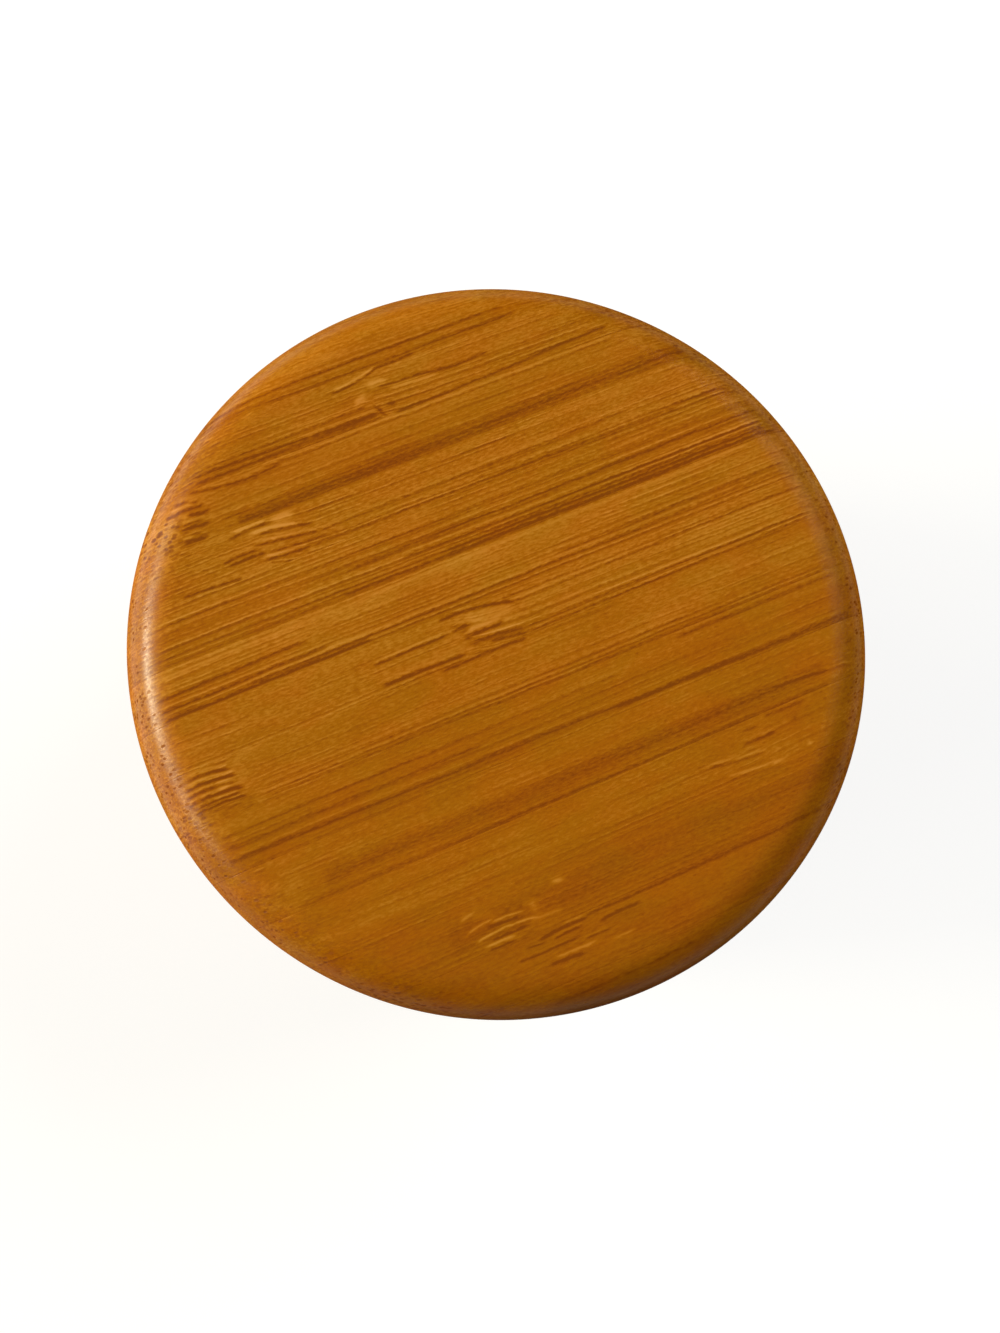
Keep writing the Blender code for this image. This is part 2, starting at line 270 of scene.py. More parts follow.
# Single marks in the strips, in the same order: where each starts and ends along the board and across it,
# how it bows, its half width, how dark it is and how pale the line above it is. Below zero a mark is pale.
# The pale line above a mark is a painted highlight: it stands for light on the mark's raised upper side.
MARKS = [
    [
        (-30, 15, -36.75, -37.1, 0.0, 0.2, 0.6, 0.11),
        (-34, 16, -35.9, -35.9, 0.0, 0.48, 0.24, 0.0),
        (-16, 15, -35.6, -35.7, 0.0, 0.14, 0.4, 0.16),
    ],
    [
        (-8.4, -2.0, -34.05, -35.2, 0.33, 0.16, 0.8, 0.79),
        (-2.5, 2.9, -35.1, -35.3, 0.0, 0.2, 0.8, 0.0),
        (-3.0, 2.2, -32.8, -32.65, 0.1, 0.16, 0.8, 0.0),
        (1.4, 11.0, -32.7, -32.35, 0.3, 0.18, 0.85, 0.0),
        (-1.8, 4.4, -32.3, -31.95, 0.1, 0.24, -0.6, 0.0),
        (7.0, 10.6, -31.9, -31.95, 0.0, 0.18, -0.38, 0.0),
        (-27, -4.1, -30.3, -29.85, 0.0, 0.21, 0.9, 0.42),
        (-27, -5.0, -30.85, -31.05, 0.0, 0.15, 0.7, 0.21),
        (-27, -3.8, -29.35, -29.3, 0.0, 0.32, 0.4, 0.0),
        (-4.4, -3.2, -30.9, -29.1, 0.0, 0.42, 1.1, 0.0),
        (-2.7, -1.7, -30.4, -30.35, 0.0, 0.36, 1.0, 0.0),
        (-2.2, 26, -29.2, -30.3, 0.2, 0.2, 0.64, 0.16),
        (-6.4, -4.5, -31.8, -32.4, 0.0, 0.5, -0.6, 0.0),
        (-4.2, -1.6, -33.6, -33.3, 0.0, 0.4, -0.5, 0.0),
    ],
    [
        (-28.3, -17, -28.85, -28.2, 0.6, 0.2, 0.8, 0.16),
        (-19, 26, -28.45, -28.4, 0.0, 0.16, 0.4, 0.47),
        (-30.5, -28.4, -27.95, -27.9, 0.0, 0.22, 0.9, 0.47),
        (-28.5, -27.0, -27.6, -27.35, 0.0, 0.2, 0.8, 0.21),
        (-31.5, -26.8, -27.05, -26.75, -0.1, 0.23, 1.0, 0.58),
        (-29.2, -26.5, -26.3, -26.05, 0.05, 0.25, 1.1, 0.26),
        (-31.2, -27.5, -25.45, -25.2, 0.0, 0.2, 0.9, 0.42),
        (-30.8, -26.9, -24.9, -24.65, 0.0, 0.22, 1.0, 0.37),
        (-29.6, -27.9, -23.95, -23.6, 0.0, 0.18, 0.7, 0.26),
        (-30.6, -27.8, -23.35, -23.15, 0.05, 0.23, 1.1, 0.42),
        (-25.6, 34, -24.4, -24.95, 0.0, 0.23, 0.4, 0.0),
        (-24.2, 34, -23.5, -24.1, 0.0, 0.48, 0.6, 0.0),
        (-22, 34, -23.05, -23.3, 0.0, 0.18, 0.24, 0.0),
        (-24.6, -24.1, -27.0, -26.95, 0.0, 0.23, 0.5, 0.0),
    ],
    [
        (-25.2, -21.0, -22.5, -22.55, 0.0, 0.21, -0.66, 0.0),
        (-20.6, -17.8, -22.2, -22.1, 0.0, 0.51, -0.6, 0.0),
        (-25.9, -20.8, -21.75, -22.1, -0.2, 0.22, 0.8, 0.0),
        (-23.4, -17.8, -21.6, -20.75, -0.22, 0.22, -0.82, 0.0),
        (-22.5, -16.2, -21.25, -20.2, -0.08, 0.2, 0.9, 0.0),
        (-23.4, -15.8, -20.1, -19.0, -0.05, 0.18, 0.85, 0.63),
        (-16.0, 24, -19.05, -19.4, 0.0, 0.16, 0.48, 0.37),
        (-27.5, -22.8, -19.3, -19.4, -0.25, 0.2, 0.9, 0.32),
        (-26.8, -22.3, -18.85, -18.85, -0.12, 0.2, 1.0, 0.42),
        (-22.1, -14.5, -18.7, -18.1, 0.0, 0.17, 0.75, 0.0),
        (-14.6, 36, -18.1, -17.95, 0.0, 0.16, 0.52, 0.21),
        (-23.0, -17.4, -18.05, -17.7, 0.1, 0.2, 0.9, 0.84),
        (-17.5, 30, -17.65, -17.45, 0.0, 0.17, 0.48, 0.52),
        (-33, -25.8, -17.4, -17.05, 0.0, 0.2, 0.85, 0.16),
    ],
    [
        (-3, 39, -11.35, -11.3, 0.0, 0.52, 0.36, 0.0),
        (-16, 40, -10.85, -10.75, 0.0, 0.2, 0.56, 0.0),
        (-8, 39, -12.5, -12.3, 0.0, 0.17, 0.64, 0.42),
        (-14, 39, -13.5, -13.9, 0.0, 0.18, 0.56, 0.21),
        (2, 39, -11.75, -11.7, 0.0, 0.15, 0.48, 0.42),
        (-38, 39, -15.0, -15.4, 0.0, 0.16, 0.4, 0.26),
    ],
    [
        (-40, -15, -4.95, -5.0, 0.0, 0.23, 0.9, 0.16),
        (-40, -20, -5.9, -6.1, 0.0, 0.2, 0.8, 0.32),
        (-40, -22, -7.2, -7.6, 0.0, 0.23, 0.7, 0.16),
        (-30, 39, -5.35, -5.6, 0.0, 0.18, 0.48, 0.32),
        (9, 39, -6.3, -6.5, 0.0, 0.23, 0.48, 0.21),
        (-40, 36, -9.6, -10.1, 0.0, 0.22, -0.28, 0.0),
    ],
    [
        (-7.2, 2.0, -3.95, -2.8, -0.5, 0.22, 1.1, 0.0),
        (1.6, 39, -2.8, -3.2, 0.0, 0.17, 0.52, 0.42),
        (0.5, 39, -3.7, -3.6, 0.15, 0.16, 0.48, 0.0),
        (-16, -6.8, -2.0, -2.1, 0.0, 0.18, 0.75, 0.47),
        (-6.2, -3.7, -2.8, -2.6, 0.0, 0.15, 0.6, 0.0),
        (-6.1, -3.7, -2.25, -2.3, 0.0, 0.23, 0.95, 0.52),
        (-5.4, -4.0, -1.85, -1.8, 0.0, 0.17, 0.7, 0.0),
        (-5.1, -0.1, -1.0, -1.1, 0.0, 0.28, 0.9, 0.68),
        (-4.9, 2.0, -0.15, 0.42, -0.08, 0.22, 0.95, 0.52),
        (1.8, 39, 0.42, 0.25, 0.0, 0.17, 0.48, 0.26),
        (-2.6, 2.2, 0.5, 1.05, 0.0, 0.21, 0.8, 0.16),
        (2.0, 39, 1.03, 0.9, 0.0, 0.17, 0.56, 0.21),
        (-16, -5.8, 0.55, 0.72, 0.0, 0.23, 0.95, 0.37),
        (-4.4, 1.6, -2.9, -2.0, 0.0, 0.89, -0.25, 0.0),
    ],
    [
        (-9, 1.6, 1.62, 1.66, -0.12, 0.21, 0.75, 0.0),
        (-40.2, -35.0, 2.5, 2.7, -0.3, 0.21, 0.8, 0.47),
        (-40.6, -34.6, 3.4, 3.65, -0.35, 0.23, 0.9, 0.58),
        (-41.0, -34.8, 4.25, 4.5, -0.35, 0.21, 0.8, 0.42),
        (-41.0, -34.3, 5.0, 5.2, -0.25, 0.23, 0.9, 0.52),
        (-40.8, -34.9, 5.55, 5.7, -0.15, 0.16, 0.7, 0.32),
        (-40.4, -34.4, 6.0, 6.1, -0.1, 0.18, 0.8, 0.26),
        (-37.4, -35.6, 4.15, 4.4, 0.0, 0.4, -0.49, 0.0),
        (-33, 38, 7.3, 7.5, 0.0, 0.15, 0.4, 0.26),
        (-33, 38, 6.8, 6.9, 0.0, 0.14, 0.36, 0.32),
        (-32, 20, 6.0, 6.3, 0.0, 0.15, 0.28, 0.26),
    ],
    [
        (-39, 39, 12.4, 13.2, 0.0, 0.23, 0.56, 0.21),
        (8, 39, 13.1, 13.7, 0.0, 0.22, 0.56, 0.32),
        (-39, -8, 11.0, 11.1, 0.0, 0.18, 0.44, 0.11),
        (-39, 10, 9.7, 9.6, 0.0, 0.18, 0.32, 0.11),
        (18, 39, 8.2, 8.3, 0.0, 0.23, 0.5, 0.21),
    ],
    [
        (-30, 33, 17.9, 18.3, 0.0, 0.98, 0.34, 0.0),
        (-34, 33, 20.0, 20.2, 0.0, 0.25, 0.4, 0.0),
        (26, 36, 18.0, 18.9, 0.0, 0.16, 0.5, 0.52),
    ],
    [
        (15, 22, 23.7, 24.6, 0.0, 0.18, 0.5, 0.47),
        (16.5, 24, 25.8, 26.6, 0.1, 0.23, 0.2, 0.68),
        (20, 24.5, 22.8, 22.85, 0.0, 0.21, 0.6, 0.26),
        (20.5, 22.6, 21.3, 21.35, 0.0, 0.2, 0.5, 0.16),
        (23.5, 29, 20.7, 20.8, 0.0, 0.23, 0.45, 0.21),
        (26.7, 27.3, 22.3, 22.3, 0.0, 0.25, 0.8, 0.0),
        (27.1, 27.8, 25.5, 25.7, 0.0, 0.29, -0.77, 0.0),
    ],
    [
        (-20, 36, 29.5, 29.2, 0.0, 1.84, 0.16, 0.0),
        (-18.2, -16.0, 28.4, 27.9, 0.0, 0.2, -0.5, 0.0),
        (-16.6, -13.8, 28.5, 28.95, 0.0, 0.36, -0.28, 0.0),
        (-17.9, -14.3, 30.0, 29.5, -0.2, 0.16, -0.7, 0.0),
        (-14.9, -10.7, 29.8, 30.1, -0.18, 0.15, -0.75, 0.0),
        (-15.4, -11.4, 30.15, 30.5, -0.1, 0.15, 0.7, 0.0),
        (-17.3, -12.7, 31.2, 30.8, -0.12, 0.17, -0.8, 0.0),
        (-13.3, -9.7, 30.9, 31.2, -0.1, 0.14, -0.7, 0.0),
        (-10.4, -6.8, 31.3, 31.55, 0.0, 0.2, -0.38, 0.0),
        (-15.4, -11.2, 31.6, 31.65, 0.0, 0.15, 0.7, 0.0),
        (-16.5, -12.6, 32.05, 32.15, -0.05, 0.16, -0.7, 0.0),
        (-16.3, -13.0, 32.5, 32.6, 0.0, 0.14, 0.6, 0.0),
        (-10.3, -9.1, 29.9, 30.1, 0.0, 0.71, -0.6, 0.0),
        (-7.0, -5.2, 28.3, 28.5, 0.0, 0.29, -0.66, 0.0),
    ],
    [
        (-10.6, -4.5, 33.65, 33.5, -0.12, 0.18, 0.95, 0.0),
        (-7.6, -5.0, 33.05, 33.1, 0.0, 0.16, -0.55, 0.0),
        (-4.7, 26, 33.3, 33.1, 0.0, 0.2, 0.48, 0.16),
        (-3.6, 1.7, 34.5, 34.35, -0.15, 0.18, 0.8, 0.21),
        (-10.8, -6.2, 36.6, 37.0, 0.0, 0.19, 0.8, 0.0),
        (-9.8, -4.4, 36.05, 36.3, 0.05, 0.17, -0.55, 0.0),
        (-13.6, -6.6, 35.0, 35.1, 0.0, 0.15, 0.6, 0.16),
        (-9.0, -5.4, 34.25, 34.15, -0.1, 0.13, 0.7, 0.4),
        (-5.8, -2.6, 35.6, 35.7, 0.0, 0.13, 0.6, 0.5),
        (-12.4, -9.9, 33.95, 34.1, 0.0, 0.13, 0.5, 0.0),
        (-3.2, 0.0, 36.9, 36.8, 0.0, 0.15, -0.5, 0.0),
    ],
    [(-12, 6, 41.0, 41.0, 0.0, 0.23, 0.3, 0.0)],
]
MARK_DEPTH = 0.66
# Where the lid's round cuts through a knuckle, its broken fibres show as pits: middle along and across the
# board, how far they spread and how deep they are. Around the pits the round is also made paler, a painted
# highlight.
CUT_KNUCKLES = [(-33.4, -25.6, 3.2, 1.0), (-41.2, 7.0, 3.2, 0.5), (-36.4, 18.0, 1.6, 0.3)]
# Heights between which the single marks fade in, towards the lid's top.
MARKS_FADE = (65.0, 69.0)
# The spans that the tables' values are kept in, from minus half to plus half.
MARK_SPAN = 180.0
STRIP_SPAN = 200.0
# The cup's block: its strips' width, its boards' height and how far one may lie along the next.
STRIP_WIDTH = 6.3
CUP_BOARD_HEIGHT = 19.0
BOARD_SHIFT = 40.0
CUP_GRAIN_TURN = math.radians(15)
NO_BOARD_EDGE = 9.0
DASH_SPACING = 0.8
FIBRE_HOP = 37.3
# The bamboo's colours from its palest to its darkest, and the leanings of its patches.
BAMBOO_COLOURS = [
    (0.0, (0.58, 0.235, 0.038, 1)),
    (0.26, (0.47, 0.173, 0.013, 1)),
    (0.5, (0.36, 0.114, 0.0004, 1)),
    (0.75, (0.285, 0.078, 0.0003, 1)),
    (1.0, (0.205, 0.049, 0.0003, 1)),
]
RED_PATCH = (1.02, 0.96, 0.93)
GREEN_PATCH = (0.975, 1.04, 1.0)


def grain_axes(angle):
    """Vectors along and across the grain, scaled so that a place in metres gives millimetres."""
    along = Vector((math.cos(angle), math.sin(angle), 0)) / MM
    across = Vector((math.sin(angle), -math.cos(angle), 0)) / MM
    return along, across


def lookup(g, key, rows, span):
    """One value for each column of rows, taken from the row that key points at."""
    outputs = []
    width = len(rows[0])
    for first in range(0, width, 4):
        stops = []
        for number, row in enumerate(rows):
            cell = [value / span + 0.5 for value in row[first:first + 4]]
            stops.append((number / TABLE_CELLS, cell + [0.5] * (4 - len(cell))))
        colour, last = g.steps(key, stops)
        outputs += [*g.parts(colour), last][:width - first]
    return [g.scaled(value, span, -span / 2) for value in outputs]


def lid_strips(g, across):
    """For a point of the lid's board: its strip's key, start, end and the values in STRIPS."""
    index = g.add(*[g.math("GREATER_THAN", across, seam) for seam in SEAMS])
    key = g.math("DIVIDE", g.add(index, 0.5), TABLE_CELLS)
    starts = [FIRST_STRIP] + SEAMS
    ends = SEAMS + [LAST_STRIP]
    rows = [(start, end, *strip) for start, end, strip in zip(starts, ends, STRIPS)]
    values = g.grouped(
        "strips", [key], lambda inner, key: lookup(inner, key, rows, STRIP_SPAN), len(rows[0]))
    return key, values


def block_strips(g, across, layer):
    """The same values for a block whose strips are all of one width, with a random look for each."""
    shift = g.times(g.chance(layer, 3.7)[0], STRIP_WIDTH)
    index = g.math("FLOOR", g.math("DIVIDE", g.add(across, shift), STRIP_WIDTH))
    start = g.less(g.times(index, STRIP_WIDTH), shift)
    first, second, third = g.chance(index, layer)
    tone = g.add(g.times(first, 0.24), 0.36)
    dense = g.add(g.times(third, 0.5), 0.4)
    knuckle = g.times(g.less(second, 0.5), 240.0)
    aside = g.times(g.less(third, 0.3), 1.5)
    return None, [start, g.add(start, STRIP_WIDTH), tone, dense, 0.7, knuckle, 0.9, aside, 2.5, 4.0]


def mark_shape(first, last, high, low, bow, half_width, dark, pale):
    """The mark as the curve that the nodes draw: middle, half length, and a parabola over that."""
    half = (last - first) / 2
    return ((first + last) / 2, half, (high + low) / 2 + bow, (low - high) / (2 * half), -bow / half ** 2,
            1 / half_width, dark, pale)


def mark_nodes(g, rows, key, along, across, total):
    """Adds to total how dark one mark makes a point."""
    middle, half, height, slope, curve, fineness, dark, pale = lookup(g, key, rows, MARK_SPAN)
    off = g.less(along, middle)
    line = g.scaled(g.scaled(off, curve, slope), off, height)
    offset = g.times(g.less(across, line), fineness)
    inside = g.ramped(g.less(half, g.math("ABSOLUTE", off)), -0.3, 0.8)
    # Painted highlight: a pale line above the mark, standing for light on its raised side.
    painted_mark_highlight = g.times(g.bell(g.add(offset, 2.2)), pale, -0.6)
    return g.scaled(inside, g.scaled(g.bell(offset), dark, painted_mark_highlight), total)


def marks_in(g, key, along, across, near_top):
    """How dark the single marks make a point."""
    unused = (-90, -80, 0, 0, 0.0, 0.2, 0.0, 0.0)
    total = 0.0
    for slot in range(max(len(marks) for marks in MARKS)):
        rows = [mark_shape(*(marks[slot] if slot < len(marks) else unused)) for marks in MARKS]
        [total] = g.grouped(
            f"mark_{slot}", [key, along, across, total],
            lambda inner, *inputs, rows=rows: [mark_nodes(inner, rows, *inputs)], 1)
    return g.times(total, near_top)


def bundles(g, along, across, up, spacing, layer, half_width, threshold):
    """Fibre bundles, one to a cell of a grid across the grain: (how dark, how pale above one) a point is. The
    pale line is a painted highlight.
    """
    column_place = g.math("DIVIDE", across, spacing)
    layer_place = g.math("DIVIDE", g.less(up, LID_HIGH.z / MM - layer / 2), layer)
    column = g.math("FLOOR", column_place)
    sheet = g.math("FLOOR", layer_place)
    first, second, third = g.chance(column, g.add(sheet, 0.37))
    aside = g.times(g.less(g.less(column_place, column), g.add(0.32, g.times(first, 0.36))), spacing)
    off = g.times(g.less(g.less(layer_place, sheet), g.add(0.4, g.times(second, 0.2))), layer)
    length = g.noise(g.vector(g.times(along, 0.05), g.times(column, 3.71), g.times(sheet, 2.33)), 1.0)
    present = g.ramped(g.add(length, g.times(third, 0.16)), threshold, g.add(threshold, 0.10))
    depth = g.bell(off, layer * 0.45)
    dark = g.times(g.bell(aside, half_width), present, depth)
    # The pale line above each bundle is a painted highlight, standing for light on its raised side.
    pale = g.times(g.bell(g.add(aside, half_width * 2.0), half_width), present, depth)
    return dark, pale


def find_place(g, wood, angle):
    """Where a point of the wood is, in millimetres along and across the grain and up."""
    here = g.node("ShaderNodeTexCoord").outputs["Object"]
    along_axis, across_axis = grain_axes(angle)
    wood.along = g.dot(here, along_axis)
    wood.across = g.dot(here, across_axis)
    wood.up = g.dot(here, Vector((0, 0, 1)) / MM)
    place = g.vector(g.times(wood.along, 0.3), g.times(wood.across, 0.45), g.times(wood.up, 0.45))
    wood.waver = g.less(g.noise(place, 1.5), 0.5)


def find_strip(g, wood, layered, angle):
    """The strip that a point is in. A layered block has boards one above another, each shifted at random."""
    if layered:
        layer = g.math("FLOOR", g.math("DIVIDE", wood.up, CUP_BOARD_HEIGHT))
        wood.along = g.add(wood.along, g.times(g.chance(layer, 8.1)[1], BOARD_SHIFT))
        wood.key, strip = block_strips(g, wood.across, layer)
        in_board = g.math("MODULO", wood.up, CUP_BOARD_HEIGHT)
        from_middle = g.math("ABSOLUTE", g.less(in_board, CUP_BOARD_HEIGHT / 2))
        wood.board_edge = g.less(CUP_BOARD_HEIGHT / 2, from_middle)
    else:
        wood.key, strip = lid_strips(g, g.add(wood.across, g.times(wood.waver, 0.15)))
        wood.board_edge = NO_BOARD_EDGE
    (wood.start, wood.end, wood.tone, wood.density, wood.contrast, wood.knuckle, wood.strength, wood.aside,
     wood.reach_left, wood.reach_right) = strip
    outward = g.node("ShaderNodeTexCoord").outputs["Normal"]
    wood.end_grain = g.math("ABSOLUTE", g.dot(outward, grain_axes(angle)[0] * MM))


def bend_fibres(g, wood):
    """Fibres run straight, but for a slow drift, a waver beside a knuckle and a step aside to its right."""
    along, across, up = wood.along, wood.across, wood.up
    wood.depth_noise = g.noise(g.vector(0.0, g.times(across, 0.7), g.times(up, 0.9)), 2.0)
    wood.from_knuckle = g.add(g.less(along, wood.knuckle), g.times(g.less(wood.depth_noise, 0.5), 1.6))
    wood.right_side = g.math("GREATER_THAN", wood.from_knuckle, 0.0)
    wood.distance = g.math("ABSOLUTE", wood.from_knuckle)
    near = g.times(g.bell(wood.from_knuckle, 4.0), wood.strength)
    slow = g.noise(g.vector(g.times(along, 0.016), g.times(across, 0.06), g.times(up, 0.06)), 1.0)
    drift = g.less(slow, 0.5)
    step = g.times(g.math("EXPONENT", g.times(wood.distance, -0.34)), wood.right_side, wood.aside)
    wood.stepped = g.add(across, g.times(drift, 1.6), step)
    # Fibres on one side of a knuckle don't line up with those on the other.
    hop = g.times(wood.right_side, g.math("GREATER_THAN", wood.strength, 0.01), FIBRE_HOP)
    wood.bent = g.add(wood.stepped, g.times(wood.waver, g.add(g.times(near, 1.2), 0.15)), hop)
    wood.whole = g.less(1.0, g.times(g.bell(wood.from_knuckle, 1.2), wood.strength))


def draw_fibres(g, wood):
    """Fibre bundles, coarse and fine, as long thin cells along the grain, and the wood's own grain."""
    along, across, up, bent = wood.along, wood.across, wood.up, wood.bent
    wood.place = g.math("DIVIDE", g.less(across, wood.start), g.less(wood.end, wood.start))
    wood.dense = g.times(g.ramped(wood.place, 0.15, 1.0), wood.density)
    grit = g.vector(g.times(along, 1.3), g.times(across, 4.2), g.times(up, 4.2))
    wood.speck = g.less(g.noise(grit, 2.0, 0.6), 0.5)
    wood.rough = g.add(bent, g.times(wood.speck, 0.16))
    wood.coarse, painted_coarse_highlight = bundles(
        g, along, wood.rough, up, 0.86, 0.6, 0.15, g.less(0.62, g.times(wood.dense, 0.22)))
    thin, painted_thin_highlight = bundles(
        g, along, wood.rough, up, 0.47, 0.5, 0.09, g.less(0.58, g.times(wood.dense, 0.16)))
    close, chance = g.cells(g.vector(g.times(along, 0.03), g.times(bent, 3.7), g.times(up, 3.7)))
    fine = g.times(
        g.ramped(close, 0.46, 0.22), g.ramped(chance, g.less(0.7, g.times(wood.dense, 0.6)), 0.95))
    wood.streak = g.noise(g.vector(g.times(along, 0.012), g.times(bent, 0.6), g.times(up, 0.6)), 3.0, 0.6)
    wood.hair = g.noise(g.vector(g.times(along, 0.16), g.times(bent, 5.0), g.times(up, 5.0)), 2.0, 0.6)
    wood.cloud = g.noise(g.vector(g.times(along, 0.14), g.times(across, 0.35), g.times(up, 0.35)), 3.0)
    lines = g.add(
        g.times(wood.coarse, 0.34),
        g.times(thin, 0.26),
        g.times(fine, 0.14),
        # Painted highlights: the pale lines above the coarse and thin bundles.
        g.times(painted_coarse_highlight, -0.20),
        g.times(painted_thin_highlight, -0.22),
        g.times(g.less(wood.hair, 0.5), 0.28),
    )
    wood.lines = g.times(lines, wood.whole, wood.contrast)


def draw_fibre_ends(g, wood):
    """Dots where the surface turns across the grain."""
    far, luck = g.cells(g.vector(g.times(wood.along, 0.05), g.times(wood.rough, 1.9), g.times(wood.up, 1.9)))
    wood.dots = g.times(
        g.ramped(far, 0.42, 0.20),
        g.ramped(luck, 0.1, 0.6),
        g.ramped(wood.end_grain, 0.2, 0.6),
        g.ramped(wood.cloud, 0.38, 0.58, 0.3, 1.0),
    )


def draw_dashes(g, wood):
    """Short dashes on both sides of a knuckle, one to a row, each with a pale line above it, a painted
    highlight.
    """
    right_side, distance = wood.right_side, wood.distance
    lean = g.less(g.chance(g.math("FLOOR", g.times(wood.across, 0.9)), wood.start)[2], 0.5)
    tilt = g.times(lean, distance, 0.10)
    rows = g.add(wood.stepped, g.times(wood.waver, 0.9), tilt, g.times(right_side, 0.37))
    row_place = g.math("DIVIDE", rows, DASH_SPACING)
    row = g.math("FLOOR", row_place)
    first, second, third = g.chance(
        g.add(row, g.times(right_side, 71.0)), g.add(wood.start, g.math("FLOOR", g.times(wood.up, 0.7))))
    reach = g.add(g.times(wood.reach_left, g.less(1.0, right_side)), g.times(wood.reach_right, right_side))
    dash_start = g.add(0.1, g.times(first, 1.4))
    dash_end = g.times(reach, g.add(0.35, g.times(second, 0.9)))
    inside = g.times(g.ramped(g.less(distance, dash_start), 0.0, 0.5),
                     g.ramped(g.less(dash_end, distance), 0.0, g.add(0.5, g.times(reach, 0.2))))
    offset = g.times(g.less(g.less(row_place, row), g.add(0.38, g.times(second, 0.3))), DASH_SPACING)
    within = g.times(inside, wood.strength, g.ramped(wood.place, 0.0, 0.05), g.ramped(wood.place, 1.0, 0.95),
                     g.ramped(wood.end_grain, 0.7, 0.3))
    thickness = g.add(0.10, g.times(third, 0.10))
    wood.dash = g.times(g.bell(offset, thickness), within, g.ramped(third, 0.0, 0.5))
    # The pale line above each dash is a painted highlight, standing for light on its raised side.
    wood.pale_dash = g.times(g.bell(g.add(offset, 0.30), 0.14), within, g.ramped(first, 0.1, 0.6))
    beside = g.bell(g.less(wood.from_knuckle, 1.0), 2.0)
    wood.glow = g.times(beside, g.ramped(wood.cloud, 0.42, 0.62), wood.strength)


def draw_flecks_and_seams(g, wood):
    """Stray flecks, and the seams between strips and between boards."""
    far, luck = g.cells(g.vector(g.times(wood.along, 0.7), g.times(wood.across, 1.6), g.times(wood.up, 1.6)))
    wood.fleck = g.times(g.ramped(far, 0.22, 0.10), g.ramped(luck, 0.82, 0.9))
    seam_gap = g.math("MINIMUM", g.less(wood.across, wood.start), g.less(wood.end, wood.across))
    wood.seam = g.ramped(g.math("MINIMUM", seam_gap, wood.board_edge), 0.10, 0.02)


def darkness(g, wood):
    """How dark all of these make a point, from 0 to 1."""
    return g.add(
        wood.tone,
        wood.lines,
        g.times(g.less(wood.streak, 0.5), 0.40),
        g.times(g.less(wood.cloud, 0.5), 0.26),
        g.times(wood.speck, g.add(0.40, g.times(wood.contrast, 0.66))),
        g.times(wood.dots, 0.48),
        g.times(wood.speck, wood.end_grain, 0.5),
        g.times(wood.dense, 0.08),
        g.times(wood.seam, g.add(0.06, g.times(wood.end_grain, 0.2))),
        g.times(wood.dash, 0.40),
        # Painted highlight above each dash.
        g.times(wood.pale_dash, -0.40),
        g.times(wood.glow, -0.20),
        g.times(wood.fleck, 0.16),
    )


def mark_lid(g, wood, dark):
    """Adds the lid's single marks, the pits in its round and a painted highlight around them: (how dark it
    gets, how deep it is there).
    """
    along, across = wood.along, wood.across
    near_top = g.ramped(g.add(wood.up, g.times(wood.depth_noise, 2.0)), *MARKS_FADE)
    wavered = g.add(across, g.times(wood.waver, 0.3), g.times(wood.speck, 0.18))
    marks = marks_in(g, wood.key, along, wavered, near_top)
    dark = g.add(dark, g.times(marks, g.scaled(wood.speck, 0.9, MARK_DEPTH)))
    cut_knuckle_pits_and_highlight = g.add(*[g.times(g.bell(g.less(along, u), spread), g.bell(g.less(across, v), spread), depth)
                       for u, v, spread, depth in CUT_KNUCKLES])
    pit_far, _ = g.cells(g.vector(g.times(along, 1.1), g.times(wood.rough, 1.7), g.times(wood.up, 0.5)))
    pits = g.times(g.ramped(pit_far, 0.50, 0.28), cut_knuckle_pits_and_highlight)
    # The pits darken. The pale share around them is a painted highlight, where the round catches the window's
    # light.
    dark = g.add(dark, g.times(pits, 0.80), g.times(cut_knuckle_pits_and_highlight, -0.28))
    return dark, g.add(marks, g.times(pits, 2.0))


def paint(g, wood, shader, dark):
    """Turns darkness into colour, with patches that lean to red or to green, and gives the wood its gloss."""
    colour, _ = g.steps(dark, BAMBOO_COLOURS, "LINEAR")
    patches = g.vector(g.times(wood.along, 0.13), g.times(wood.across, 0.28), g.times(wood.up, 0.28))
    tint = g.noise(patches, 2.0, 0.6)
    hue = g.blend(g.ramped(tint, 0.3, 0.7), RED_PATCH, GREEN_PATCH)
    g.feed(shader.inputs["Base Color"], g.blend(1.0, colour, hue, "MULTIPLY"))
    gloss = g.add(
        0.24, g.times(wood.coarse, 0.08), g.times(wood.hair, 0.14), g.times(wood.speck, 0.25),
        g.times(wood.dots, 0.5))
    # Sanded wood shows no mirror at a flat angle.
    facing = g.node("ShaderNodeLayerWeight").outputs["Facing"]
    gloss = g.add(gloss, g.ramped(facing, 0.5, 0.78, 0.0, 0.6))
    g.feed(shader.inputs["Roughness"], gloss)
    shader.inputs["Specular IOR Level"].default_value = 0.24


def add_relief(g, wood, shader, marks):
    """The grain's relief."""
    height = g.add(
        g.times(wood.lines, -0.6),
        g.times(wood.speck, -0.22),
        g.times(marks, -0.16),
        g.times(wood.dots, -0.9),
        g.times(wood.dash, -0.25),
        g.times(wood.pale_dash, 0.2),
        g.times(wood.seam, -0.3),
        g.times(wood.streak, 0.3),
    )
    g.bump(shader, height, 0.5, 0.05 * MM)


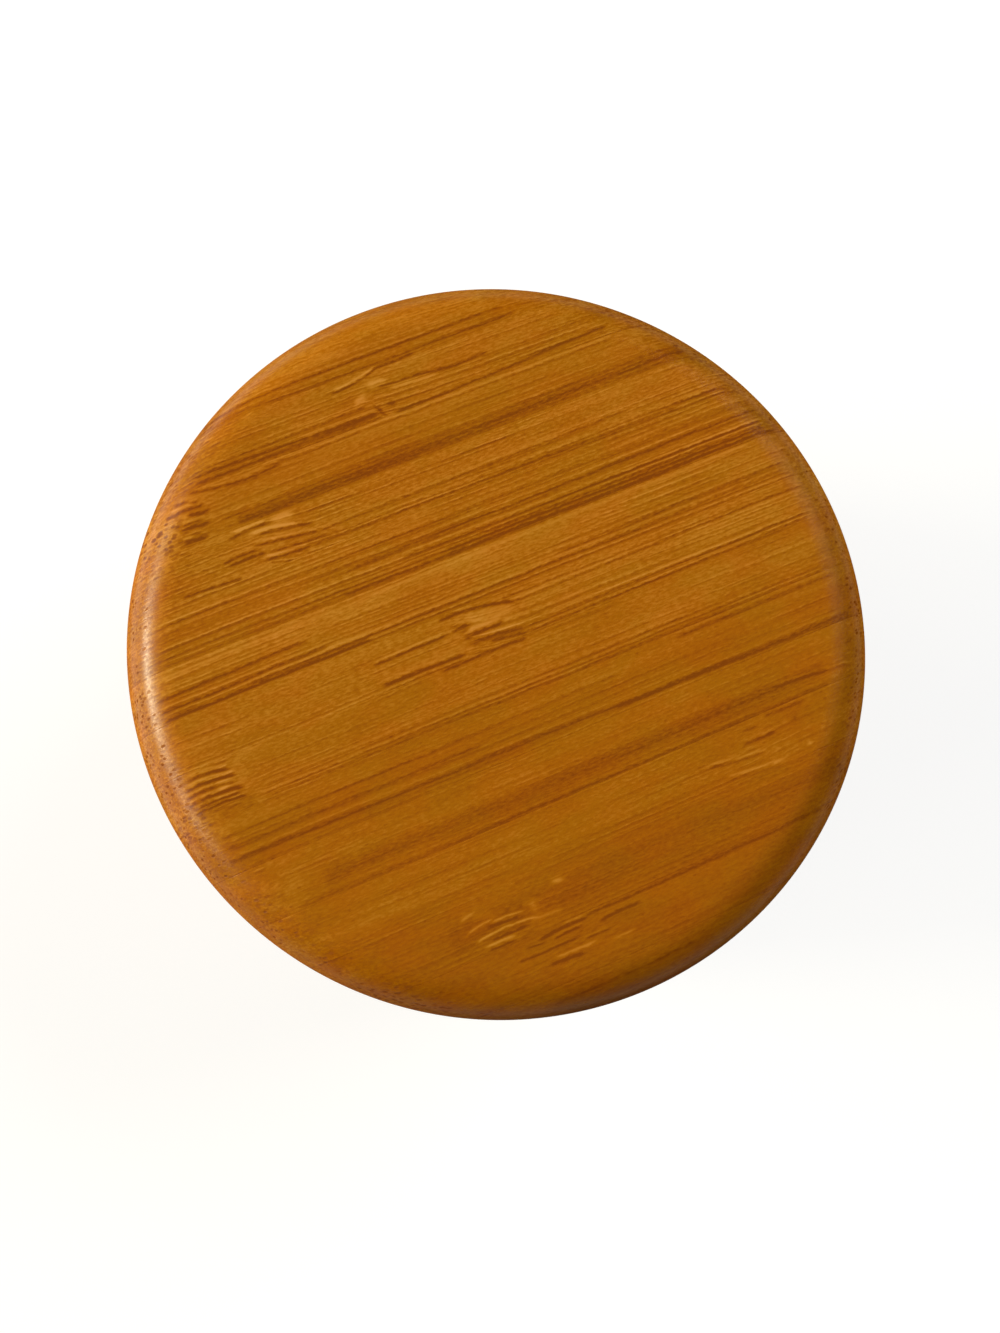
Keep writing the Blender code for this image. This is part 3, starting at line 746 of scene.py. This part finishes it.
def bamboo_material(name, angle, layered):
    """Laminated bamboo as a solid: fibres run along the grain, so faces across it show their dotted ends."""
    material, g, shader = new_material(name)
    wood = SimpleNamespace()
    find_place(g, wood, angle)
    find_strip(g, wood, layered, angle)
    bend_fibres(g, wood)
    draw_fibres(g, wood)
    draw_fibre_ends(g, wood)
    draw_dashes(g, wood)
    draw_flecks_and_seams(g, wood)
    dark, marks = darkness(g, wood), 0.0
    if not layered:
        dark, marks = mark_lid(g, wood, dark)
    paint(g, wood, shader, g.math("ADD", dark, 0.0, clamp=True))
    add_relief(g, wood, shader, marks)
    return material


def metal_material(name, colour, roughness, scratch_scale, scratch_depth):
    """Bare or plated metal with fine scratches and a little variation in gloss."""
    material, g, shader = new_material(name)
    here = g.node("ShaderNodeTexCoord").outputs["Object"]
    x = g.dot(here, Vector((1, 0, 0)) / MM)
    y = g.dot(here, Vector((0, 1, 0)) / MM)
    z = g.dot(here, Vector((0, 0, 1)) / MM)
    stretched = g.vector(g.times(x, scratch_scale), g.times(y, scratch_scale * 8), g.times(z, scratch_scale))
    scratch = g.noise(stretched, 4.0, 0.65)
    smear = g.noise(g.vector(x, y, z), 2.0)
    g.feed(shader.inputs["Base Color"], g.blend(smear, tuple(c * 0.92 for c in colour), colour))
    g.feed(shader.inputs["Roughness"], g.ramped(scratch, 0.3, 0.7, roughness * 0.8, roughness * 1.5))
    shader.inputs["Metallic"].default_value = 1
    g.bump(shader, scratch, scratch_depth, 0.01 * MM)
    return material


def arc(centre, radius, start, end, steps):
    """Points of a turned profile, as (distance from the axis, height)."""
    points = []
    for step in range(steps + 1):
        angle = math.radians(start + (end - start) * step / steps)
        points.append((centre[0] + radius * math.cos(angle), centre[1] + radius * math.sin(angle)))
    return points


def line(a, b, steps):
    """Points from a towards b, without b."""
    return [(a[0] + (b[0] - a[0]) * i / steps, a[1] + (b[1] - a[1]) * i / steps) for i in range(steps)]


def turned(name, profile, steps):
    """A mesh object made by turning a profile about the Z axis."""
    build = bmesh.new()
    points = [build.verts.new((across, 0, height)) for across, height in profile]
    edges = [build.edges.new(pair) for pair in zip(points, points[1:])]
    bmesh.ops.spin(build, geom=points + edges, cent=(0, 0, 0), axis=(0, 0, 1),
                   angle=2 * math.pi, steps=steps, use_merge=True)
    bmesh.ops.remove_doubles(build, verts=build.verts, dist=MERGE_DISTANCE)
    bmesh.ops.recalc_face_normals(build, faces=build.faces)
    mesh = bpy.data.meshes.new(name)
    build.to_mesh(mesh)
    build.free()
    piece = bpy.data.objects.new(name, mesh)
    bpy.context.scene.collection.objects.link(piece)
    return piece


def bored(piece, holes):
    """Cuts round blind holes, each (middle, radius, mouth height, bottom height), and keeps one mesh."""
    cutters = []
    for number, (middle, radius, mouth, bottom) in enumerate(holes):
        way = math.copysign(1, bottom - mouth)
        wide, outside = radius + HOLE_CHAMFER, mouth - way * CUTTER_OVERRUN
        profile = [(0, outside), (wide, outside), (wide, mouth), (radius, mouth + way * HOLE_CHAMFER),
                   (radius, bottom), (0, bottom)]
        cutter = turned(f"{piece.name}_cutter_{number}", profile, HOLE_STEPS)
        cutter.location = (middle.x, middle.y, 0)
        modifier = piece.modifiers.new(f"hole_{number}", "BOOLEAN")
        modifier.operation = "DIFFERENCE"
        modifier.solver = "EXACT"
        modifier.object = cutter
        cutters.append(cutter)
    bpy.context.view_layer.update()
    graph = bpy.context.evaluated_depsgraph_get()
    mesh = bpy.data.meshes.new_from_object(piece.evaluated_get(graph))
    piece.modifiers.clear()
    piece.data = mesh
    for cutter in cutters:
        bpy.data.objects.remove(cutter)
    mesh.shade_smooth()
    mesh.set_sharp_from_angle(angle=SHARP_ANGLE)


def dress(mesh, material):
    mesh.materials.clear()
    mesh.materials.append(material)


def make_lid(material):
    """The lid with its sanded round, the pin's bore and the magnet's pocket."""
    low, high = LID_LOW.z, LID_HIGH.z
    lower = (RADIUS - EASE, low + EASE)
    upper = (RADIUS - LID_ROUND, high - LID_ROUND)
    profile = [
        *line((0, low), (RADIUS - EASE, low), 24),
        *arc(lower, EASE, -90, 0, 6),
        *arc(upper, LID_ROUND, 0, 90, 28),
        *line((RADIUS - LID_ROUND, high), (0, high), 24)[1:],
        (0, high),
    ]
    lid = turned("lid_wood", profile, TURN_STEPS)
    bored(lid, [
        (PIVOT, BORE_RADIUS["lid"], low, PIN_HIGH.z + PIN_END_GAP),
        (MAGNET, POCKET_RADIUS, low, low + POCKET_DEPTH),
    ])
    dress(lid.data, material)
    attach(lid, "lid")
    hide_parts("lid")


def make_cup(material):
    """The cup with its rounded foot, eased rim and coved floor, the pin's bore and the magnet's pocket."""
    low, high = CUP_LOW.z, CUP_HIGH.z
    profile = [
        *line((0, low), (RADIUS - FOOT_ROUND, low), 12),
        *arc((RADIUS - FOOT_ROUND, low + FOOT_ROUND), FOOT_ROUND, -90, 0, 18),
        *line((RADIUS, low + FOOT_ROUND), (RADIUS, high - EASE), 12)[1:],
        *arc((RADIUS - EASE, high - EASE), EASE, 0, 90, 6),
        *arc((CAVITY_RADIUS + MOUTH_EASE, high - MOUTH_EASE), MOUTH_EASE, 90, 180, 8),
        *line((CAVITY_RADIUS, high - MOUTH_EASE), (CAVITY_RADIUS, FLOOR_TOP + FLOOR_COVE), 12)[1:],
        *arc((CAVITY_RADIUS - FLOOR_COVE, FLOOR_TOP + FLOOR_COVE), FLOOR_COVE, 0, -90, 18),
        *line((CAVITY_RADIUS - FLOOR_COVE, FLOOR_TOP), (0, FLOOR_TOP), 12)[1:],
        (0, FLOOR_TOP),
    ]
    cup = turned("cup_wood", profile, TURN_STEPS)
    bored(cup, [
        (PIVOT, BORE_RADIUS["cup"], high, PIN_LOW.z - PIN_END_GAP),
        (MAGNET, POCKET_RADIUS, high, high - POCKET_DEPTH),
    ])
    dress(cup.data, material)
    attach(cup, "box")
    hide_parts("cup")


def dress_metal():
    """The pin and the magnets keep their own shapes and get their metals."""
    steel = metal_material("ground_steel", (0.56, 0.55, 0.53), 0.28, 2.0, 0.3)
    nickel = metal_material("nickel_plate", (0.72, 0.69, 0.64), 0.18, 1.2, 0.25)
    for name, material in (("pivot_pin", steel), ("cup_magnet", nickel), ("lid_magnet", nickel)):
        dress(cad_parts[name].data, material)


def make_floor():
    """A pale floor that looks white to the camera and still takes the object's shadow.

    Gloss mirrors it at a lower strength, as the photograph's dark rim does, and more on the window's side,
    where it glows as a painted pool of window light that only reflections see.
    """
    build = bmesh.new()
    bmesh.ops.create_circle(build, cap_ends=True, segments=96, radius=FLOOR_RADIUS)
    mesh = bpy.data.meshes.new("floor")
    build.to_mesh(mesh)
    build.free()
    floor = bpy.data.objects.new("floor", mesh)
    floor.location.z = -FLOOR_DROP
    bpy.context.scene.collection.objects.link(floor)
    material, g, shader = new_material("floor_white")
    shader.inputs["Base Color"].default_value = FLOOR_GREY
    shader.inputs["Roughness"].default_value = 0.9
    path = g.node("ShaderNodeLightPath")
    mirrored = g.math("MAXIMUM", path.outputs["Is Glossy Ray"], path.outputs["Is Transmission Ray"])
    here = g.node("ShaderNodeTexCoord").outputs["Object"]
    unit = g.node("ShaderNodeVectorMath", operation="NORMALIZE")
    g.feed(unit.inputs[0], here)
    # Painted light: the floor glows brighter towards the window for glossy rays only, a painted pool of
    # window light that the lid's rim reflects.
    painted_window_pool = g.ramped(g.dot(unit.outputs["Vector"], PAINTED_POOL_WAY), 0.45, 1.0)
    mirrored_backdrop_and_pool = g.times(mirrored, g.scaled(painted_window_pool, 1.2, 0.06))
    seen = g.math("MAXIMUM", path.outputs["Is Camera Ray"], mirrored_backdrop_and_pool)
    away = g.node("ShaderNodeVectorMath", operation="LENGTH")
    g.feed(away.inputs[0], here)
    glow = g.ramped(away.outputs["Value"], NEAR_FLOOR, FAR_FLOOR, 0.79, 1.0)
    shader.inputs["Emission Color"].default_value = (1, 1, 1, 1)
    g.feed(shader.inputs["Emission Strength"], g.times(seen, glow))
    mesh.materials.append(material)


def add_area(name, azimuth, elevation, size, power, colour, mirrored=True):
    """A soft lamp aimed at the lid. Azimuth runs from +X to +Y. One that isn't mirrored leaves no gloss."""
    lamp = bpy.data.lights.new(name, "AREA")
    lamp.shape = "RECTANGLE"
    lamp.size, lamp.size_y = size
    lamp.energy = power
    lamp.color = colour
    turn, rise = math.radians(azimuth), math.radians(elevation)
    way = Vector((math.cos(turn) * math.cos(rise), math.sin(turn) * math.cos(rise), math.sin(rise)))
    holder = bpy.data.objects.new(name, lamp)
    holder.location = Vector((0, 0, LID_HIGH.z)) + way * LAMP_DISTANCE
    holder.rotation_euler = (-way).to_track_quat("-Z", "Y").to_euler()
    holder.visible_camera = False
    holder.visible_glossy = mirrored
    bpy.context.scene.collection.objects.link(holder)


def light_scene():
    """A low wide window on the left, brighter in its middle, a soft lamp behind on the right, a dim world."""
    add_area("window", 180, 24, (1.80, 0.60), 25.5, (1.0, 0.94, 0.72))
    add_area("window_middle", 178, 19, (0.50, 0.09), 20.5, (1.0, 0.93, 0.68))
    add_area("back_right", 33, 40, (1.0, 1.0), 22.5, (0.97, 1.0, 0.97), mirrored=False)
    world = bpy.data.worlds.new("studio")
    bpy.context.scene.world = world
    world.use_nodes = True
    g = Graph(world.node_tree)
    background = world.node_tree.nodes["Background"]
    path = g.node("ShaderNodeLightPath")
    height = g.dot(g.node("ShaderNodeTexCoord").outputs["Generated"], (0, 0, 1))
    sky = g.ramped(height, 0.4, 0.95, 0.05, 0.24)
    dim = g.times(g.less(1.0, path.outputs["Is Glossy Ray"]), 0.06)
    unseen = g.add(g.times(path.outputs["Is Glossy Ray"], sky), dim)
    camera = path.outputs["Is Camera Ray"]
    g.feed(background.inputs["Strength"], g.add(camera, g.times(g.less(1.0, camera), unseen)))
    shown = g.math("MAXIMUM", camera, path.outputs["Is Glossy Ray"])
    g.feed(background.inputs["Color"], g.blend(shown, WARM_DIM, WHITE))


def place_camera():
    """The photograph's view: from a little to the lower left of straight above, with image up along +Y."""
    camera = bpy.data.cameras.new("camera")
    camera.sensor_width = SENSOR
    camera.lens = FOCAL_PIXELS * SENSOR / max(FRAME_SIZE)
    camera.clip_start = NEAREST_SEEN
    back = (CAMERA_PLACE - CAMERA_TARGET).normalized()
    right = Vector((0, 1, 0)).cross(back).normalized()
    above = back.cross(right)
    holder = bpy.data.objects.new("camera", camera)
    turn = Matrix((right, above, back)).transposed().to_4x4()
    holder.matrix_world = Matrix.Translation(CAMERA_PLACE) @ turn
    bpy.context.scene.collection.objects.link(holder)
    bpy.context.scene.camera = holder


bpy.context.scene.view_settings.view_transform = "Standard"
place_camera()
make_lid(bamboo_material("lid_bamboo", GRAIN_ANGLE, layered=False))
make_cup(bamboo_material("cup_bamboo", GRAIN_ANGLE - CUP_GRAIN_TURN, layered=True))
dress_metal()
make_floor()
light_scene()
